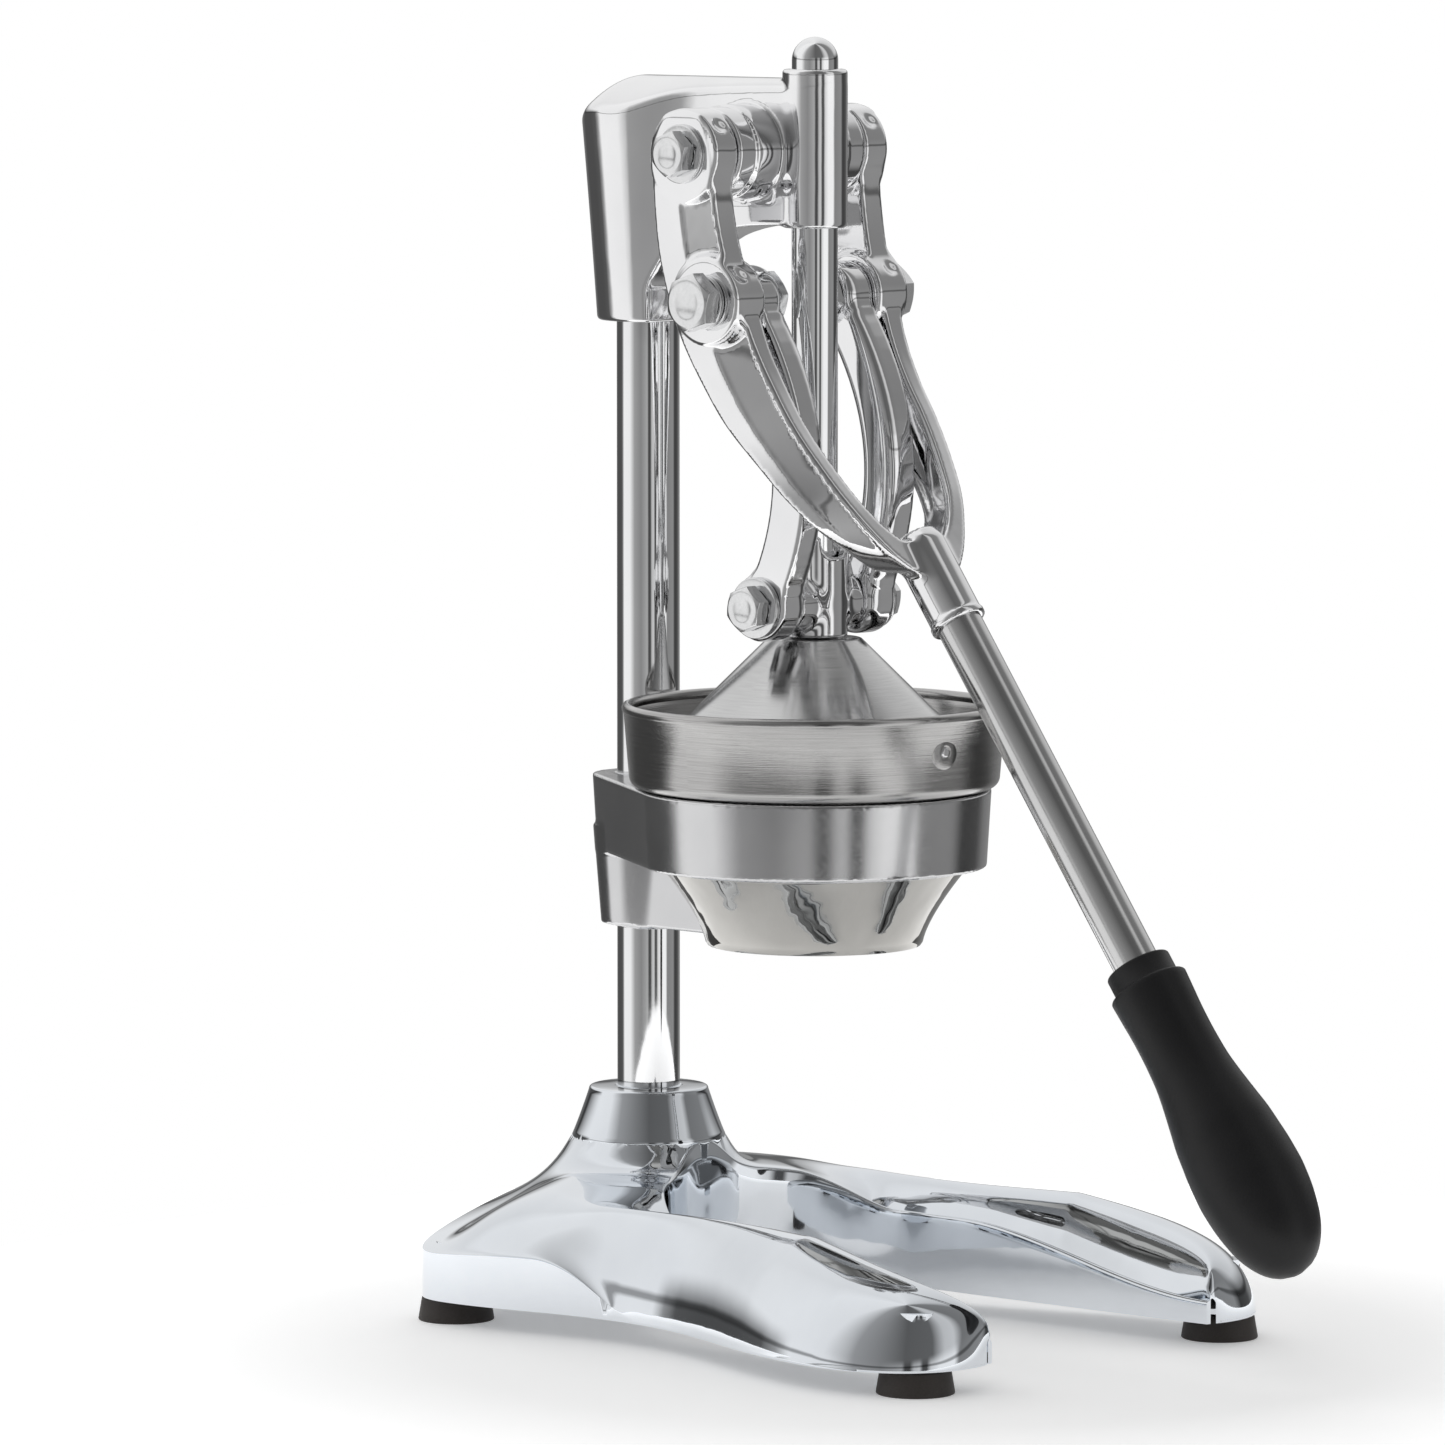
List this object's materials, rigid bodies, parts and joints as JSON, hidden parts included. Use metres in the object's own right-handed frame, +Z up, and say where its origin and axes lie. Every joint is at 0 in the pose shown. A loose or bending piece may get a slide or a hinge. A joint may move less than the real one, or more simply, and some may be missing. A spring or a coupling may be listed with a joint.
{
  "type": "citrus press juicer",
  "caption": "Lever-operated citrus press on a horseshoe base: a forked lever and two links push a cone down a guide rod into a cup with a spout.",
  "frame": {"origin": "middle of the bounding box at floor level, under the cup", "axes": "+Z up, -Y to the front where the lever's grip is, X across; the assembly is symmetric about X = 0"},
  "size_m": [0.1896, 0.32, 0.415],
  "materials": {
    "chrome_base": "mirror chrome plate",
    "chrome": "bright chrome plate",
    "polished_casting": "polished casting",
    "brushed_steel": "spun and brushed round the axis",
    "satin_steel": "fine satin",
    "zinc_plate": "zinc plate",
    "foot_rubber": "matte",
    "grip_plastic": "soft sheen"
  },
  "bodies": {
    "frame": {"base_casting": "chrome_base", "foot_front_left": "foot_rubber", "foot_front_right": "foot_rubber", "foot_rear_left": "foot_rubber", "foot_rear_right": "foot_rubber", "foot_screw_front_left": "zinc_plate", "foot_screw_front_right": "zinc_plate", "foot_screw_rear_left": "zinc_plate", "foot_screw_rear_right": "zinc_plate", "post_tube": "chrome", "post_washer": "zinc_plate", "post_bolt": "zinc_plate", "head_casting": "polished_casting", "head_set_screw": "zinc_plate", "cup_holder": "satin_steel", "holder_set_screw": "zinc_plate", "juice_funnel": "brushed_steel", "strainer_cone": "brushed_steel", "lever_bolt_left": "zinc_plate", "lever_bolt_right": "zinc_plate", "lever_washer_left": "zinc_plate", "lever_washer_right": "zinc_plate"},
    "lever": {"lever_yoke": "polished_casting", "handle_tube": "satin_steel", "handle_grip": "grip_plastic", "knee_bolt_left": "zinc_plate", "knee_bolt_right": "zinc_plate", "knee_washer_left": "zinc_plate", "knee_washer_right": "zinc_plate"},
    "links": {"link_left": "polished_casting", "link_right": "polished_casting", "knee_nut_left": "zinc_plate", "knee_nut_right": "zinc_plate"},
    "press": {"press_rod": "chrome", "crosshead": "polished_casting", "press_cone": "brushed_steel", "press_washer": "zinc_plate", "press_screw": "zinc_plate", "cross_bolt_left": "zinc_plate", "cross_bolt_right": "zinc_plate", "cross_washer_left": "zinc_plate", "cross_washer_right": "zinc_plate"}
  },
  "joints": [
    {"name": "lever_hinge", "type": "hinge", "parent": "frame", "child": "lever", "pos_m": [0, 0.06447, 0.3784], "axis": [-1, 0, 0], "range_deg": [0, 95]},
    {"name": "link_hinge", "type": "hinge", "parent": "press", "child": "links", "pos_m": [0, 0.04497, 0.2343], "axis": [1, 0, 0], "range_deg": [0, 21.3]},
    {"name": "press_slide", "type": "slide", "parent": "frame", "child": "press", "axis": [0, 0, 1], "range_m": [0, 0.0635]}
  ],
  "couplings": [
    {"joint": "link_hinge", "follows": "lever_hinge", "ratio": 0.22287},
    {"joint": "press_slide", "follows": "lever_hinge", "m_per_rad": 0.038218}
  ]
}
